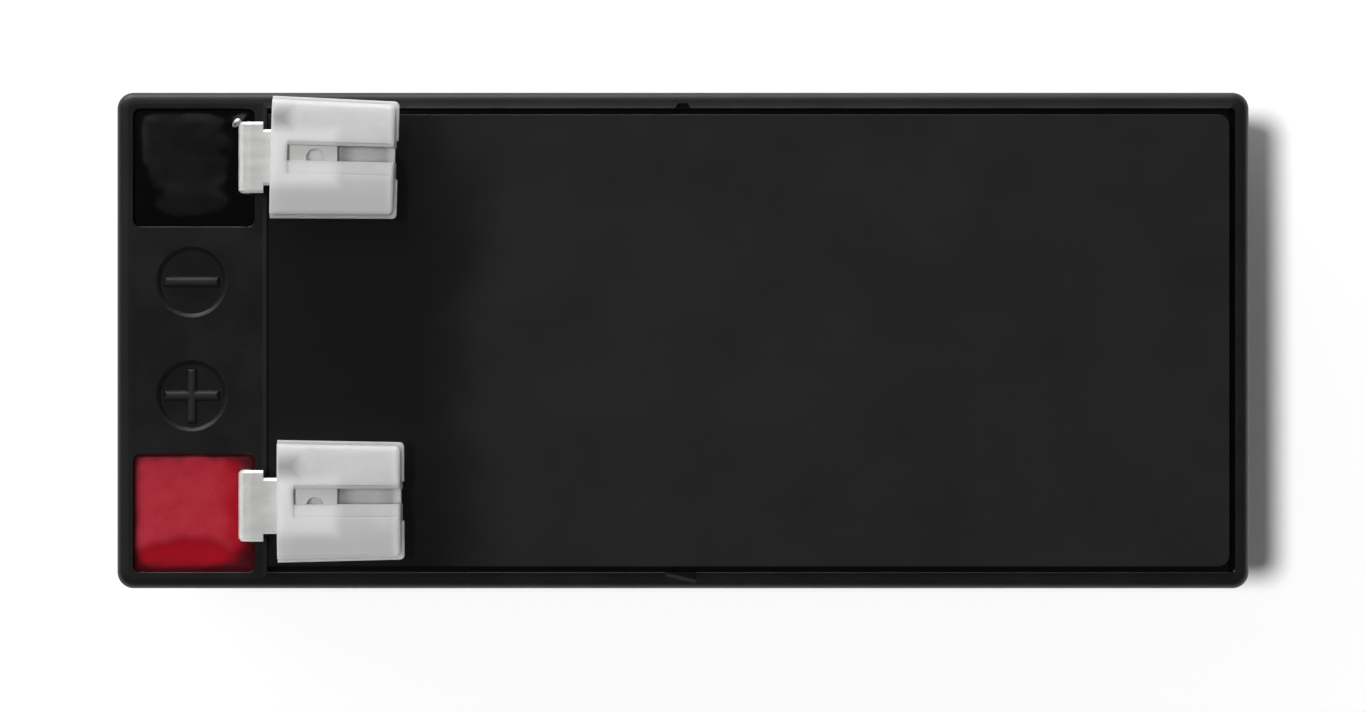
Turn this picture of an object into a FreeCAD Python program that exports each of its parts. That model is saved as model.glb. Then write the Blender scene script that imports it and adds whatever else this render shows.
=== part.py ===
import FreeCAD
import Part
import os
import Sketcher

# Sealed lead-acid battery, 12 V, six cells in two rows of three.
# Frame: millimetres, +Z up, origin at the middle of the base; both terminals stand at the -X end,
# the positive one on the -Y side.

# Driving dimensions, in millimetres and degrees.
dimensions = {
    # Case
    "case_length": 97.0,
    "case_width": 42.5,
    "case_height": 52.0,
    "corner_radius": 1.4,
    "base_edge_radius": 1.0,
    "case_wall": 2.0,
    "floor_thickness": 2.0,
    "partition_wall": 1.2,
    "seam_bevel": 0.25,
    "tongue_thickness": 0.9,
    "tongue_gap": 0.2,
    "joint_clearance": 0.05,
    "rib_height": 1.0,
    "rib_width": 1.2,
    "rib_inset": 6.0,
    "gate_diameter": 5.0,
    "gate_depth": 0.4,
    # Lid
    "rim_wall": 1.4,
    "rim_end_wall": 1.2,
    "rim_slope_width": 0.95,
    "rim_slope_drop": 0.13,
    "rim_edge_radius": 0.8,
    "rim_inner_bevel": 0.04,
    "deck_thickness": 1.8,
    "skirt_depth": 1.2,
    "channel_depth": 0.8,
    "ledge_width": 1.2,
    "strip_thickness": 1.8,
    "core_web": 3.0,
    "well_length": 10.4,
    "well_width": 10.1,
    "well_end_wall": 1.1,
    "well_side_wall": 1.3,
    "well_corner_radius": 0.6,
    "mark_diameter": 5.5,
    "mark_depth": 0.5,
    "mark_bevel": 0.3,
    "mark_shift": 0.15,
    "mark_inset": 0.2,
    "mark_bar_length": 4.7,
    "mark_bar_width": 0.83,
    "mark_bar_height": 0.4,
    "mark_bar_radius": 0.36,
    "notch_width": 1.9,
    "notch_end_width": 0.8,
    "notch_reach": 0.45,
    "notch_depth": 0.6,
    "wedge_start": 1.6,
    "wedge_end": 1.15,
    "wedge_reach": 0.62,
    "seat_corner_radius": 0.35,
    "gas_channel_depth": 0.4,
    # Vent cover plate
    "cover_thickness": 1.6,
    "cover_drop": 0.1,
    "cover_gap": 0.45,
    "cover_end_gap": 0.03,
    "cover_corner_radius": 1.0,
    "cover_edge_radius": 0.12,
    # Vent chimneys and their rubber valves
    "chimney_diameter": 6.4,
    "chimney_bore": 2.5,
    "chimney_height": 3.0,
    "valve_crown": 1.0,
    "valve_wall": 1.1,
    "valve_fit": 0.1,
    "valve_foot_gap": 0.6,
    "valve_headroom": 0.3,
    "valve_bevel": 0.5,
    # Blade terminals
    "tab_width": 4.75,
    "tab_thickness": 0.8,
    "tab_length": 6.3,
    "tab_rise": 5.0,
    "tab_shift": 0.74,
    "tip_bevel": 0.6,
    "detent_diameter": 1.5,
    "detent_inset": 1.9,
    "tab_edge_bevel": 0.22,
    "shoulder_width": 6.05,
    "shoulder_length": 2.15,
    "bend_radius": 0.4,
    "foot_overhang": 2.8,
    "riser_clearance": 0.3,
    "seal_drop": 0.4,
    # Push-on covers of the blade terminals
    "sleeve_length": 10.75,
    "sleeve_width": 10.4,
    "sleeve_end_width": 9.95,
    "sleeve_wall": 1.2,
    "sleeve_crown": 0.5,
    "sleeve_end_wall": 0.86,
    "sleeve_edge_radius": 0.5,
    "sleeve_slack": 0.2,
    "lip_width": 0.28,
    "lip_height": 0.6,
    "lip_corner_radius": 0.4,
    "cavity_width": 7.4,
    "slit_width": 1.3,
    "slit_offset": 0.4,
    "slit_start": 1.4,
    "band_width": 2.7,
    "band_depth": 0.15,
    "end_recess_width": 3.3,
    "end_recess_depth": 0.15,
    "negative_mouth_gap": 0.69,
    "negative_sleeve_shift": 0.03,
    "negative_sleeve_yaw": -1.5,
    "positive_mouth_gap": 1.22,
    "positive_sleeve_shift": 0.39,
    "positive_sleeve_yaw": 0.2,
    # Plate groups, straps and posts
    "positive_thickness": 2.0,
    "negative_thickness": 1.3,
    "plate_side_gap": 0.6,
    "mat_side_gap": 0.2,
    "mat_overhang": 1.0,
    "lug_width": 4.0,
    "lug_inset": 5.0,
    "lug_gap": 2.4,
    "lug_embed": 1.5,
    "strap_width": 5.6,
    "strap_thickness": 3.0,
    "strap_end_gap": 0.3,
    "strap_clearance": 0.8,
    "weld_diameter": 2.4,
    "weld_block_width": 6.0,
    "post_diameter": 4.6,
    "post_clearance": 0.1,
    "post_rise": 1.2,
    "spigot_diameter": 2.4,
    "spigot_rise": 0.5,
}

# Six cells: three columns in each of two rows, the rows named for the terminal that stands on them
columns = (-1, 0, 1)
positive_row, negative_row = rows = (-1, 1)
plate_order = ("negative", "positive") * len(columns) + ("negative",)
positive_plates = plate_order.count("positive")
negative_plates = plate_order.count("negative")

# Places and sizes that follow from the driving dimensions.
layout_formulas = {
    # Heights, from the rim down
    "recess_depth": "=dims.cover_drop + dims.cover_thickness + dims.valve_headroom"
                    " + dims.valve_crown + dims.chimney_height",
    "ledge_z": "=dims.case_height - dims.cover_drop - dims.cover_thickness",
    "deck_top": "=dims.case_height - recess_depth",
    "deck_low": "=deck_top - dims.deck_thickness",
    "seam_z": "=deck_low - dims.skirt_depth",
    "tongue_top": "=deck_low - dims.tongue_gap",
    "partition_top": "=deck_low + dims.channel_depth - dims.joint_clearance",
    "strap_top": "=deck_low - dims.strap_clearance",
    "strap_low": "=strap_top - dims.strap_thickness",
    "weld_z": "=strap_low + dims.strap_thickness / 2",
    "lug_top": "=strap_low + dims.lug_embed",
    "plate_top": "=strap_low - dims.lug_gap",
    "plate_low": "=dims.floor_thickness + dims.rib_height",
    "mat_top": "=plate_top + dims.mat_overhang",
    "post_top": "=deck_top + dims.post_rise",
    "blade_low": "=dims.case_height + dims.tab_rise",
    "blade_top": "=blade_low + dims.tab_thickness",
    # Cells
    "inner_length": "=dims.case_length - 2 * dims.case_wall",
    "inner_width": "=dims.case_width - 2 * dims.case_wall",
    "cell_length": f"=(inner_length - {len(columns) - 1} * dims.partition_wall) / {len(columns)}",
    "cell_width": f"=(inner_width - {len(rows) - 1} * dims.partition_wall) / {len(rows)}",
    "column_pitch": "=cell_length + dims.partition_wall",
    "row_pitch": "=cell_width + dims.partition_wall",
    "row_y": "=row_pitch / 2",
    "lug_x": "=cell_length / 2 - dims.lug_inset",
    "mat_thickness": f"=(cell_width - {negative_plates} * dims.negative_thickness"
                     f" - {positive_plates} * dims.positive_thickness) / {len(plate_order) - 1}",
    "plate_pitch": "=dims.positive_thickness + dims.negative_thickness + 2 * mat_thickness",
    "strap_length": "=cell_width - 2 * dims.strap_end_gap",
    "tongue_length": "=inner_length + 2 * dims.tongue_thickness",
    "tongue_width": "=inner_width + 2 * dims.tongue_thickness",
    # Top of the lid
    "well_left": "=-dims.case_length / 2 + dims.rim_wall",
    "well_right": "=well_left + dims.well_length",
    "well_x": "=(well_left + well_right) / 2",
    "strip_end": "=well_right + dims.well_end_wall",
    "recess_right": "=dims.case_length / 2 - dims.rim_end_wall",
    "recess_half": "=dims.case_width / 2 - dims.rim_wall",
    "well_inner": "=recess_half - dims.well_width",
    "well_y": "=recess_half - dims.well_width / 2",
    "mark_x": "=well_x - dims.mark_inset",
    "mark_y": "=well_inner / 2",
    "chamber_left": "=strip_end + dims.ledge_width",
    "chamber_right": "=recess_right - dims.ledge_width",
    "chamber_half": "=recess_half - dims.ledge_width",
    "first_vent_x": "=(chamber_left - cell_length / 2 - dims.partition_wall) / 2",
    # Terminals and their covers
    "riser_x": "=well_right - dims.riser_clearance - dims.tab_thickness",
    "neck_x": "=riser_x + dims.shoulder_length",
    "riser_drop": "=blade_low - post_top",
    "foot_reach": "=riser_x - well_x + dims.foot_overhang",
    "blade_reach": "=dims.shoulder_length + dims.tab_length",
    "cavity_height": "=dims.tab_thickness + dims.sleeve_slack",
}

tolerance = 0.001
z_axis = FreeCAD.Vector(0, 0, 1)

doc = FreeCAD.newDocument("sealed_battery")
sub_parts = []


def fill_sheet(name, cells):
    sheet = doc.addObject("Spreadsheet::Sheet", name)
    for row, (alias, content) in enumerate(cells.items(), start=1):
        sheet.set(f"A{row}", alias)
        sheet.set(f"B{row}", str(content))
        sheet.setAlias(f"B{row}", alias)
    doc.recompute()
    return sheet


dims = fill_sheet("dims", dimensions)
layout = fill_sheet("layout", layout_formulas)


def number(expression):
    return float(layout.evalExpression(expression))


def negate(expression):
    return f"-({expression})"


# Sketches

def origin_item(body, role):
    return next(item for item in body.Origin.OriginFeatures if item.Role == role)


def add_sketch(body, name, plane="XY_Plane", height="0"):
    sketch = body.newObject("Sketcher::SketchObject", name)
    sketch.AttachmentSupport = [(origin_item(body, plane), "")]
    sketch.MapMode = "FlatFace"
    sketch.setExpression("AttachmentOffset.Base.z", height)
    return sketch


def tie_size(sketch, constraint, expression):
    index = sketch.addConstraint(constraint)
    sketch.setExpression(f"Constraints[{index}]", expression)


# A point is held by its two distances from the sketch's origin, or on an axis where one is nought.
def tie_point(sketch, line, end, x, y):
    horizontal_axis, vertical_axis = -1, -2
    for kind, axis, distance in (("DistanceX", vertical_axis, x), ("DistanceY", horizontal_axis, y)):
        if distance == "0":
            sketch.addConstraint(Sketcher.Constraint("PointOnObject", line, end, axis))
        else:
            held = Sketcher.Constraint(kind, -1, 1, line, end, number(distance))
            tie_size(sketch, held, distance)


def add_outline(sketch, corners):
    points = [FreeCAD.Vector(number(x), number(y), 0) for x, y in corners]
    count = len(points)
    lines = [
        sketch.addGeometry(Part.LineSegment(points[i], points[(i + 1) % count]))
        for i in range(count)
    ]
    for i in range(count):
        sketch.addConstraint(Sketcher.Constraint("Coincident", lines[i], 2, lines[(i + 1) % count], 1))
    for line, (x, y) in zip(lines, corners):
        tie_point(sketch, line, 1, x, y)


def add_rectangle(sketch, left, right, low, high):
    add_outline(sketch, [(left, low), (right, low), (right, high), (left, high)])


def add_centred_rectangle(sketch, length, width):
    add_rectangle(sketch, f"-({length}) / 2", f"({length}) / 2", f"-({width}) / 2", f"({width}) / 2")


def add_circle(sketch, x, y, diameter):
    centre = FreeCAD.Vector(number(x), number(y), 0)
    circle = sketch.addGeometry(Part.Circle(centre, z_axis, number(diameter) / 2))
    tie_point(sketch, circle, 3, x, y)
    tie_size(sketch, Sketcher.Constraint("Diameter", circle, number(diameter)), diameter)


# Features

def new_body(label):
    return doc.addObject("PartDesign::Body", label)


def settle(feature):
    doc.recompute()
    if "Invalid" in feature.State or feature.Shape.isNull():
        raise RuntimeError(f"{feature.Label} could not be built")
    return feature


def add_pad(body, sketch, length, centred=False):
    pad = body.newObject("PartDesign::Pad", f"{sketch.Label}_pad")
    pad.Profile = sketch
    pad.setExpression("Length", length)
    if centred:
        pad.SideType = "Symmetric"
    return settle(pad)


def add_pocket(body, sketch, depth, forward=False, centred=False):
    base = body.Tip
    pocket = body.newObject("PartDesign::Pocket", f"{sketch.Label}_pocket")
    pocket.Profile = sketch
    pocket.setExpression("Length", depth)
    pocket.Reversed = forward
    if centred:
        pocket.SideType = "Symmetric"
    settle(pocket)
    if pocket.Shape.Volume > base.Shape.Volume - tolerance:
        raise RuntimeError(f"{pocket.Label} cuts nothing")
    return pocket


def add_pattern(body, feature, directions):
    pattern = body.newObject("PartDesign::LinearPattern", f"{feature.Label}_pattern")
    pattern.Originals = [feature]
    for suffix, (role, length, count) in zip(("", "2"), directions):
        setattr(pattern, f"Direction{suffix}", (origin_item(body, role), [""]))
        setattr(pattern, f"Occurrences{suffix}", count)
        pattern.setExpression(f"Length{suffix}", length)
    body.Tip = pattern
    return settle(pattern)


def dress_edges(body, kind, size_name, size, chosen):
    base = body.Tip
    names = [f"Edge{n}" for n, edge in enumerate(base.Shape.Edges, start=1) if chosen(edge)]
    if not names:
        raise RuntimeError(f"{body.Label}: no edge found for {size}")
    dressed = body.newObject(f"PartDesign::{kind}", f"{body.Label}_{kind.lower()}")
    dressed.Base = (base, names)
    dressed.setExpression(size_name, size)
    return settle(dressed)


def round_edges(body, radius, chosen):
    return dress_edges(body, "Fillet", "Radius", radius, chosen)


def bevel_edges(body, size, chosen):
    return dress_edges(body, "Chamfer", "Size", size, chosen)


def near(a, b):
    return abs(a - b) < tolerance


def is_upright(edge):
    box = edge.BoundBox
    return box.ZLength > tolerance and box.XLength < tolerance and box.YLength < tolerance


def at_height(edge, z):
    return near(edge.BoundBox.ZMin, z) and near(edge.BoundBox.ZMax, z)


def on_case_outline(edge):
    box = edge.BoundBox
    reaches_end = near(max(abs(box.XMin), abs(box.XMax)), number("dims.case_length / 2"))
    reaches_side = near(max(abs(box.YMin), abs(box.YMax)), number("dims.case_width / 2"))
    return reaches_end or reaches_side


def on_case_corner(edge):
    box = edge.BoundBox
    at_end = near(abs(box.XMin), number("dims.case_length / 2"))
    return is_upright(edge) and at_end and near(abs(box.YMin), number("dims.case_width / 2"))


# Edges of an opening in the lid's top, between two places along the case and inside the rim
def on_top_between(start, end):
    top = number("dims.case_height")
    left = number(start) - tolerance
    right = number(end) + tolerance
    reach = number("layout.recess_half") + tolerance

    def chosen(edge):
        box = edge.BoundBox
        inside = box.XMin > left and box.XMax < right and box.YMin > -reach and box.YMax < reach
        return at_height(edge, top) and inside

    return chosen


def place(item, x="0", y="0", z="0", turn="0"):
    item.Placement = FreeCAD.Placement(FreeCAD.Vector(), FreeCAD.Rotation(z_axis, 1))
    item.setExpression("Placement.Base.x", x)
    item.setExpression("Placement.Base.y", y)
    item.setExpression("Placement.Base.z", z)
    item.setExpression("Placement.Rotation.Angle", turn)


def keep(item):
    sub_parts.append(item)
    return item


# Container: one moulding with a floor, walls and partitions, open at the top
def make_container():
    body = new_body("container")
    block = add_sketch(body, "container_block")
    add_centred_rectangle(block, "dims.case_length", "dims.case_width")
    add_pad(body, block, "layout.partition_top")
    round_edges(body, "dims.corner_radius", on_case_corner)
    round_edges(body, "dims.base_edge_radius", lambda edge: at_height(edge, 0))

    cell = add_sketch(body, "first_cell", height="layout.partition_top")
    left = "-layout.inner_length / 2"
    low = "-layout.inner_width / 2"
    add_rectangle(cell, left, f"{left} + layout.cell_length", low, f"{low} + layout.cell_width")
    cell_pocket = add_pocket(body, cell, "layout.partition_top - dims.floor_thickness")
    row_length = f"{len(columns) - 1} * layout.column_pitch"
    add_pattern(body, cell_pocket, [
        ("X_Axis", row_length, len(columns)),
        ("Y_Axis", "layout.row_pitch", len(rows)),
    ])

    # The outer wall steps down to the seam, and a tongue stands inside it for the lid.
    wall = add_sketch(body, "wall_step", height="layout.partition_top")
    past = "2 * dims.case_wall"
    add_centred_rectangle(wall, f"dims.case_length + {past}", f"dims.case_width + {past}")
    add_centred_rectangle(wall, "layout.tongue_length", "layout.tongue_width")
    add_pocket(body, wall, "layout.partition_top - layout.seam_z")
    tongue = add_sketch(body, "tongue_step", height="layout.partition_top")
    past = "dims.case_wall"
    add_centred_rectangle(tongue, f"layout.tongue_length + {past}", f"layout.tongue_width + {past}")
    add_centred_rectangle(tongue, "layout.inner_length", "layout.inner_width")
    add_pocket(body, tongue, "layout.partition_top - layout.tongue_top")
    bevel_edges(body, "dims.seam_bevel",
                lambda edge: at_height(edge, number("layout.seam_z")) and on_case_outline(edge))

    # Two ribs on the floor of each cell carry the plates.
    ribs = add_sketch(body, "floor_ribs", height="dims.floor_thickness")
    end = "layout.inner_width / 2"
    half_rib = "dims.rib_width / 2"
    for side in ("dims.rib_inset", "layout.cell_length - dims.rib_inset"):
        middle = f"{left} + {side}"
        add_rectangle(ribs, f"{middle} - {half_rib}", f"{middle} + {half_rib}", negate(end), end)
    rib_pad = add_pad(body, ribs, "dims.rib_height")
    add_pattern(body, rib_pad, [("X_Axis", row_length, len(columns))])

    # Holes in the partitions, where the straps of neighbouring cells are welded through
    hole_diameter = "dims.weld_diameter + 2 * dims.joint_clearance"
    cross_holes = add_sketch(body, "cross_weld_holes", "YZ_Plane")
    for row in rows:
        add_circle(cross_holes, f"{row} * layout.row_y", "layout.weld_z", hole_diameter)
    add_pocket(body, cross_holes, "layout.cell_length + 4 * dims.partition_wall", centred=True)
    long_hole = add_sketch(body, "long_weld_hole", "XZ_Plane")
    add_circle(long_hole, "layout.column_pitch + layout.lug_x", "layout.weld_z", hole_diameter)
    add_pocket(body, long_hole, "2 * dims.partition_wall", centred=True)

    # The moulding gate sits in a shallow dimple under the base.
    gate = add_sketch(body, "gate_dimple")
    add_circle(gate, "0", "0", "dims.gate_diameter")
    add_pocket(body, gate, "dims.gate_depth", forward=True)
    return keep(body)


# Lid: one moulding with the rim, the terminal strip and the vent chamber
def vent_centres():
    places = []
    for x in ("layout.first_vent_x", "0", "layout.column_pitch"):
        for row in rows:
            places.append((x, f"{row} * layout.row_y"))
    return places


def make_lid():
    body = new_body("lid")
    block = add_sketch(body, "lid_block", height="layout.seam_z")
    add_centred_rectangle(block, "dims.case_length", "dims.case_width")
    add_pad(body, block, "dims.case_height - layout.seam_z")
    round_edges(body, "dims.corner_radius", on_case_corner)
    shape_rim(body)
    bevel_edges(body, "dims.seam_bevel", lambda edge: at_height(edge, number("layout.seam_z")))
    cut_lid_underside(body)
    cut_vent_chamber(body)
    cut_terminal_wells(body)
    add_polarity_marks(body)
    add_chimneys(body)
    cut_gas_notches(body)
    return keep(body)


# The top of the rim falls a little towards the outside, then rounds over into the wall.
def shape_rim(body):
    top = number("dims.case_height")
    slope = bevel_edges(body, "dims.rim_slope_width", lambda edge: at_height(edge, top))
    slope.ChamferType = "Two distances"
    slope.FlipDirection = True
    slope.setExpression("Size2", "dims.rim_slope_drop")
    settle(slope)
    shoulder = number("dims.case_height - dims.rim_slope_drop")
    round_edges(body, "dims.rim_edge_radius", lambda edge: at_height(edge, shoulder))


def cut_lid_underside(body):
    skirt = add_sketch(body, "skirt", height="layout.seam_z")
    fit = "2 * dims.joint_clearance"
    add_centred_rectangle(skirt, f"layout.tongue_length + {fit}", f"layout.tongue_width + {fit}")
    add_pocket(body, skirt, "dims.skirt_depth", forward=True)
    # Channels in the deck take the tops of the partitions.
    channel = f"dims.partition_wall + {fit}"
    long_channel = add_sketch(body, "long_channel", height="layout.deck_low")
    add_centred_rectangle(long_channel, "layout.inner_length", channel)
    add_pocket(body, long_channel, "dims.channel_depth", forward=True)
    cross_channels = add_sketch(body, "cross_channels", height="layout.deck_low")
    for side in (-1, 1):
        middle = f"{side} * layout.column_pitch / 2"
        add_rectangle(cross_channels, f"{middle} - ({channel}) / 2", f"{middle} + ({channel}) / 2",
                      "-layout.inner_width / 2", "layout.inner_width / 2")
    add_pocket(body, cross_channels, "dims.channel_depth", forward=True)
    # The strip is cored out from below between the wells, on both sides of the middle partition.
    cores = add_sketch(body, "strip_cores", height="layout.deck_low")
    inside = "dims.core_web / 2"
    outside = "layout.well_inner - dims.well_side_wall"
    add_rectangle(cores, "layout.well_left", "layout.well_right", inside, outside)
    add_rectangle(cores, "layout.well_left", "layout.well_right", negate(outside), negate(inside))
    add_pocket(body, cores, "dims.case_height - dims.strip_thickness - layout.deck_low", forward=True)


def cut_vent_chamber(body):
    seat = add_sketch(body, "cover_seat", height="dims.case_height")
    half = "layout.recess_half"
    add_rectangle(seat, "layout.strip_end", "layout.recess_right", negate(half), half)
    add_pocket(body, seat, "dims.case_height - layout.ledge_z")
    far_end = number("layout.recess_right")
    round_edges(body, "dims.seat_corner_radius",
                lambda edge: is_upright(edge) and near(edge.BoundBox.XMin, far_end))
    bevel_edges(body, "dims.rim_inner_bevel", on_top_between("layout.strip_end", "layout.recess_right"))
    chamber = add_sketch(body, "vent_chamber", height="layout.ledge_z")
    add_rectangle(chamber, "layout.chamber_left", "layout.chamber_right",
                  "-layout.chamber_half", "layout.chamber_half")
    add_pocket(body, chamber, "layout.ledge_z - layout.deck_top")


def cut_terminal_wells(body):
    wells = add_sketch(body, "terminal_wells", height="dims.case_height")
    ends = ("layout.well_left", "layout.well_right")
    add_rectangle(wells, *ends, "layout.well_inner", "layout.recess_half")
    add_rectangle(wells, *ends, "-layout.recess_half", "-layout.well_inner")
    add_pocket(body, wells, "layout.recess_depth")
    left, right = map(number, ends)
    floor = number("layout.deck_top")
    round_edges(body, "dims.well_corner_radius", lambda edge: (
        is_upright(edge) and near(edge.BoundBox.ZMin, floor)
        and (near(edge.BoundBox.XMin, left) or near(edge.BoundBox.XMin, right))))
    bevel_edges(body, "dims.rim_inner_bevel", on_top_between(*ends))
    holes = add_sketch(body, "post_holes", height="layout.deck_top")
    for row in rows:
        add_circle(holes, "layout.well_x", f"{row} * layout.well_y",
                   "dims.post_diameter + 2 * dims.post_clearance")
    add_pocket(body, holes, "dims.deck_thickness")


def mark_y(row):
    return f"{row} * layout.mark_y + dims.mark_shift"


# Minus and plus stand up from the floors of two round dimples, each beside its own terminal.
def add_polarity_marks(body):
    dimples = add_sketch(body, "mark_dimples", height="dims.case_height")
    for row in rows:
        add_circle(dimples, "layout.mark_x", mark_y(row), "dims.mark_diameter")
    add_pocket(body, dimples, "dims.mark_depth")
    top = number("dims.case_height")
    radius = number("dims.mark_diameter / 2")
    bevel_edges(body, "dims.mark_bevel", lambda edge: (
        at_height(edge, top) and isinstance(edge.Curve, Part.Circle) and near(edge.Curve.Radius, radius)))
    floor = "dims.case_height - dims.mark_depth"
    length = "dims.mark_bar_length / 2"
    width = "dims.mark_bar_width / 2"
    bars = add_sketch(body, "mark_bars", height=floor)
    for row in rows:
        middle = mark_y(row)
        add_rectangle(bars, f"layout.mark_x - {length}", f"layout.mark_x + {length}",
                      f"{middle} - {width}", f"{middle} + {width}")
    add_pad(body, bars, "dims.mark_bar_height")
    upright = add_sketch(body, "plus_upright", height=floor)
    middle = mark_y(positive_row)
    add_rectangle(upright, f"layout.mark_x - {width}", f"layout.mark_x + {width}",
                  f"{middle} - {length}", f"{middle} + {length}")
    add_pad(body, upright, "dims.mark_bar_height")
    bar_top = number(f"{floor} + dims.mark_bar_height")
    middles = [FreeCAD.Vector(number("layout.mark_x"), number(mark_y(row)), bar_top) for row in rows]
    round_edges(body, "dims.mark_bar_radius", lambda edge: (
        at_height(edge, bar_top) and any((edge.CenterOfMass - middle).Length < radius for middle in middles)))


def add_chimneys(body):
    chimneys = add_sketch(body, "chimneys", height="layout.deck_top")
    for x, y in vent_centres():
        add_circle(chimneys, x, y, "dims.chimney_diameter")
    add_pad(body, chimneys, "dims.chimney_height")
    bores = add_sketch(body, "vent_bores", height="layout.deck_top + dims.chimney_height")
    for x, y in vent_centres():
        add_circle(bores, x, y, "dims.chimney_bore")
    add_pocket(body, bores, "dims.chimney_height + dims.deck_thickness")


# Gas leaves the vent chamber through a channel in the ledge and a notch in the rim, on each long side.
# One notch is a small dent; the other is a wedge, where a blade can lift the plate.
def cut_gas_notches(body):
    notches = add_sketch(body, "gas_notches", height="dims.case_height")
    mouth = "dims.notch_width / 2"
    end = "dims.notch_end_width / 2"
    inside = "layout.recess_half - dims.cover_gap"
    dent = "layout.recess_half + dims.notch_reach"
    add_outline(notches, [(negate(mouth), inside), (mouth, inside), (end, dent), (negate(end), dent)])
    wedge = "layout.recess_half + dims.wedge_reach"
    add_outline(notches, [
        ("-dims.wedge_start", negate(inside)), ("dims.wedge_end", negate(inside)),
        ("dims.wedge_end", negate(wedge)), ("-dims.wedge_start", "-layout.recess_half"),
    ])
    add_pocket(body, notches, "dims.notch_depth")
    channels = add_sketch(body, "gas_channels", height="layout.ledge_z")
    for row in rows:
        start = f"{row} * (layout.chamber_half - dims.cover_gap)"
        stop = f"{row} * layout.recess_half"
        add_outline(channels, [(negate(mouth), start), (mouth, start), (mouth, stop), (negate(mouth), stop)])
    add_pocket(body, channels, "dims.gas_channel_depth")


# Vent cover: a flat plate on the ledge, in a narrow groove
def make_vent_cover():
    body = new_body("vent_cover")
    plate = add_sketch(body, "cover_plate", height="layout.ledge_z")
    half = "layout.recess_half - dims.cover_gap"
    right = "layout.recess_right - dims.cover_gap"
    add_rectangle(plate, "layout.strip_end + dims.cover_end_gap", right, negate(half), half)
    add_pad(body, plate, "dims.cover_thickness")
    far_end = number(right)
    round_edges(body, "dims.cover_corner_radius",
                lambda edge: is_upright(edge) and near(edge.BoundBox.XMin, far_end))
    top = number("layout.ledge_z + dims.cover_thickness")
    round_edges(body, "dims.cover_edge_radius", lambda edge: at_height(edge, top))
    return keep(body)


# Vent valve: a rubber cap turned about its own axis, pushed over a chimney
def make_vent_valve(label, x, y):
    body = new_body(label)
    section = add_sketch(body, f"{label}_section", "XZ_Plane")
    inner = "dims.chimney_diameter / 2 + dims.valve_fit"
    outer = f"{inner} + dims.valve_wall"
    foot = "dims.valve_foot_gap - dims.chimney_height"
    add_outline(section, [
        ("0", "0"), (inner, "0"), (inner, foot), (outer, foot),
        (outer, "dims.valve_crown"), ("0", "dims.valve_crown"),
    ])
    cap = body.newObject("PartDesign::Revolution", f"{label}_turn")
    cap.Profile = section
    cap.ReferenceAxis = (section, ["V_Axis"])
    settle(cap)
    crown = number("dims.valve_crown")
    bevel_edges(body, "dims.valve_bevel",
                lambda edge: at_height(edge, crown) and edge.BoundBox.XLength > tolerance)
    place(body, x, y, "layout.deck_top + dims.chimney_height")
    return keep(body)


# Terminal: a flat strip bent twice, with its foot on the post and its blade over the lid
def tab_y(row):
    return f"{row} * layout.well_y + dims.tab_shift"


def make_terminal(label, row):
    body = new_body(label)
    strip = add_sketch(body, f"{label}_strip", "XZ_Plane")
    foot_low = "-layout.riser_drop"
    foot_top = "dims.tab_thickness - layout.riser_drop"
    add_outline(strip, [
        ("0", "dims.tab_thickness"),
        ("layout.blade_reach", "dims.tab_thickness"),
        ("layout.blade_reach", "0"),
        ("dims.tab_thickness", "0"),
        ("dims.tab_thickness", foot_low),
        ("-layout.foot_reach", foot_low),
        ("-layout.foot_reach", foot_top),
        ("0", foot_top),
    ])
    add_pad(body, strip, "dims.shoulder_width", centred=True)

    def across_bend(x, z):
        at_x = number(x)
        at_z = number(z)
        return lambda edge: (edge.BoundBox.YLength > tolerance
                             and near(edge.BoundBox.XMin, at_x) and at_height(edge, at_z))

    outer_radius = "dims.bend_radius + dims.tab_thickness"
    round_edges(body, outer_radius, across_bend("0", "dims.tab_thickness"))
    round_edges(body, outer_radius, across_bend("dims.tab_thickness", foot_low))
    round_edges(body, "dims.bend_radius", across_bend("dims.tab_thickness", "0"))
    round_edges(body, "dims.bend_radius", across_bend("0", foot_top))

    # The blade is narrower than the shoulder, with bevelled corners at its tip.
    sides = add_sketch(body, f"{label}_sides", height="dims.tab_thickness")
    past_tip = "layout.blade_reach + dims.tab_thickness"
    for side in (-1, 1):
        edge_y = f"{side} * dims.tab_width / 2"
        clear_y = f"{side} * dims.shoulder_width"
        add_outline(sides, [
            ("dims.shoulder_length", edge_y),
            ("layout.blade_reach - dims.tip_bevel", edge_y),
            ("layout.blade_reach", f"{edge_y} - {side} * dims.tip_bevel"),
            (past_tip, f"{edge_y} - {side} * dims.tip_bevel"),
            (past_tip, clear_y),
            ("dims.shoulder_length", clear_y),
        ])
    add_pocket(body, sides, "dims.tab_thickness")
    detent = add_sketch(body, f"{label}_detent", height="dims.tab_thickness")
    add_circle(detent, "layout.blade_reach - dims.detent_inset", "0", "dims.detent_diameter")
    add_pocket(body, detent, "dims.tab_thickness")
    face = number("dims.tab_thickness")
    bevel_edges(body, "dims.tab_edge_bevel", lambda edge: (
        at_height(edge, face) and edge.BoundBox.YLength < tolerance < edge.BoundBox.XLength))
    foot_hole = add_sketch(body, f"{label}_foot_hole", height=foot_top)
    add_circle(foot_hole, "layout.well_x - layout.riser_x", "-dims.tab_shift", "dims.spigot_diameter")
    add_pocket(body, foot_hole, "dims.tab_thickness")
    place(body, "layout.riser_x", tab_y(row), "layout.blade_low")
    return keep(body)


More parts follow.
